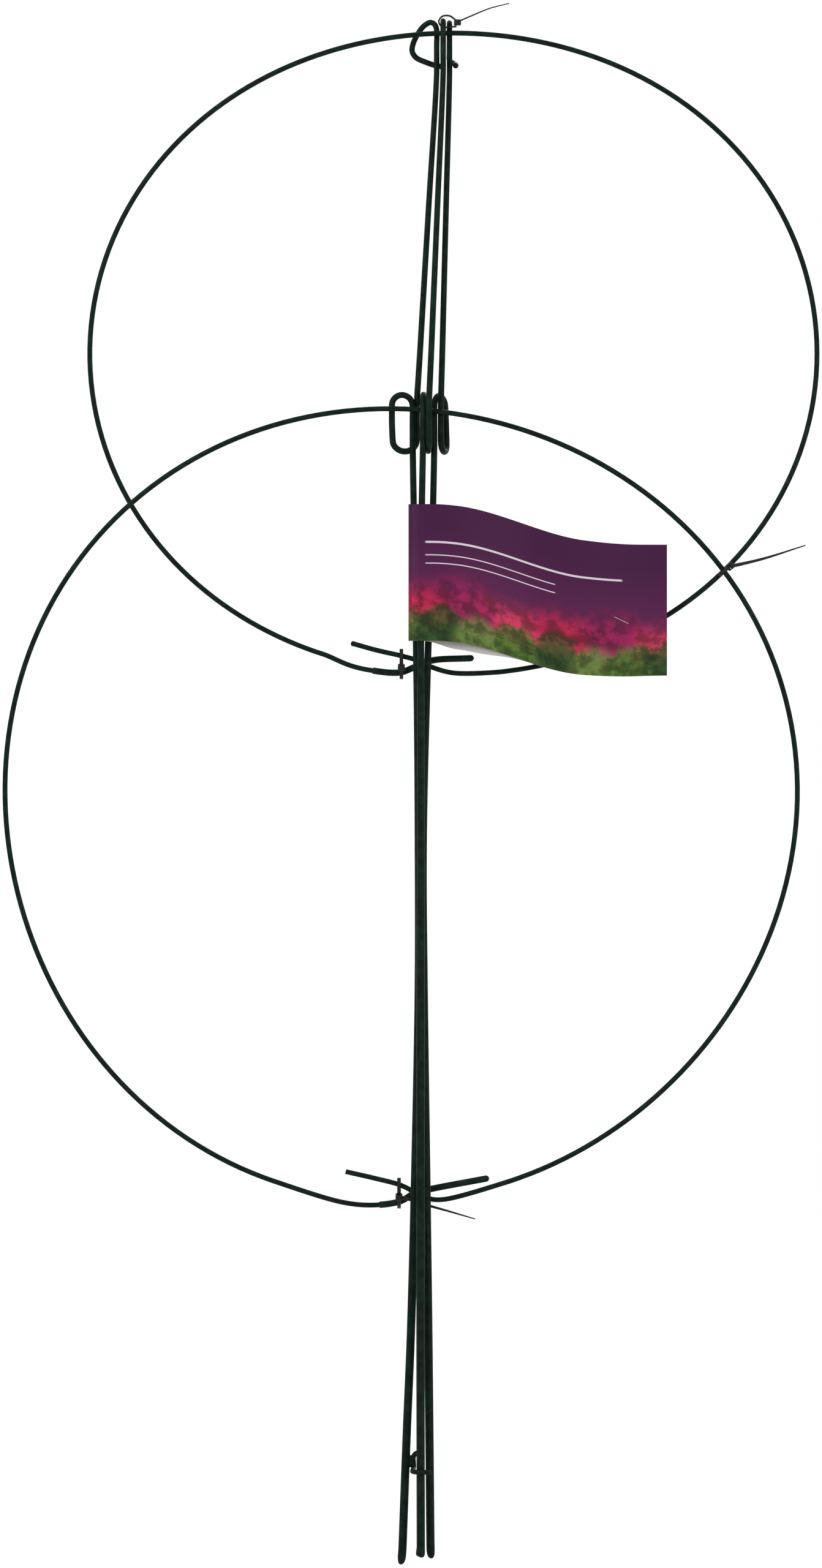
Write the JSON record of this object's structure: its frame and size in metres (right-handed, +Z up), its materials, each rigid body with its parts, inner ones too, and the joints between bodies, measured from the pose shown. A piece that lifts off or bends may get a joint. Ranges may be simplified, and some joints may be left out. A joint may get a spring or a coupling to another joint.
{
  "type": "linking flower support",
  "caption": "Folding garden plant support: two coated wire rings carried one above the other in the bent eyes of three wire legs, shown folded flat with its cable ties and card.",
  "frame": {"origin": "on the ground line of the folded bundle, level with the tip of the longest leg", "axes": "+Z up the legs, +X across the folded rings, +Y back through them, the way the rings swing open"},
  "size_m": [0.4838, 0.0354, 0.9232],
  "materials": {
    "green_coat": "dark green plastic coat, semi-gloss",
    "sleeve_coat": "dark green tube, satin",
    "black_nylon": "moulded nylon, satin",
    "card": "printed coated card, soft gloss",
    "staple_steel": "bright wire"
  },
  "bodies": {
    "centre_leg": {"centre_leg": "green_coat", "top_tie": "black_nylon"},
    "left_leg": {"left_leg": "green_coat", "left_leg_clip": "green_coat"},
    "right_leg": {"right_leg": "green_coat"},
    "upper_ring": {"upper_ring": "green_coat", "upper_ring_sleeve": "sleeve_coat", "upper_ring_tie": "black_nylon"},
    "lower_ring": {"lower_ring": "green_coat", "lower_ring_sleeve": "sleeve_coat", "lower_ring_tie": "black_nylon", "crossing_tie": "black_nylon"},
    "label": {"label_card": "card", "label_staple": "staple_steel"}
  },
  "joints": [
    {"name": "upper_ring_swing", "type": "hinge", "parent": "centre_leg", "child": "upper_ring", "pos_m": [0.0121, 0, 0.9057], "axis": [1, 0, 0], "range_deg": [0, 98]},
    {"name": "lower_ring_swing", "type": "hinge", "parent": "centre_leg", "child": "lower_ring", "pos_m": [0.0002, 0, 0.68365], "axis": [1, 0, 0], "range_deg": [0, 98]},
    {"name": "left_leg_spread", "type": "hinge", "parent": "centre_leg", "child": "left_leg", "pos_m": [0.0525, 0.279, 0.6842], "axis": [-0.1256, -0.2516, 0.9596], "range_deg": [-90, 0]},
    {"name": "right_leg_spread", "type": "hinge", "parent": "centre_leg", "child": "right_leg", "pos_m": [-0.0827, 0.2688, 0.6842], "axis": [-0.0895, -0.1393, 0.9862], "range_deg": [0, 88.1]},
    {"name": "label_swing", "type": "hinge", "parent": "centre_leg", "child": "label", "pos_m": [-0.0011, -0.0042, 0.5867], "axis": [0, 0, 1], "range_deg": [-60, 0]}
  ],
  "couplings": [
    {"joint": "lower_ring_swing", "follows": "upper_ring_swing", "ratio": 1},
    {"joint": "left_leg_spread", "follows": "upper_ring_swing", "ratio": -0.9153},
    {"joint": "right_leg_spread", "follows": "upper_ring_swing", "ratio": 0.898}
  ]
}
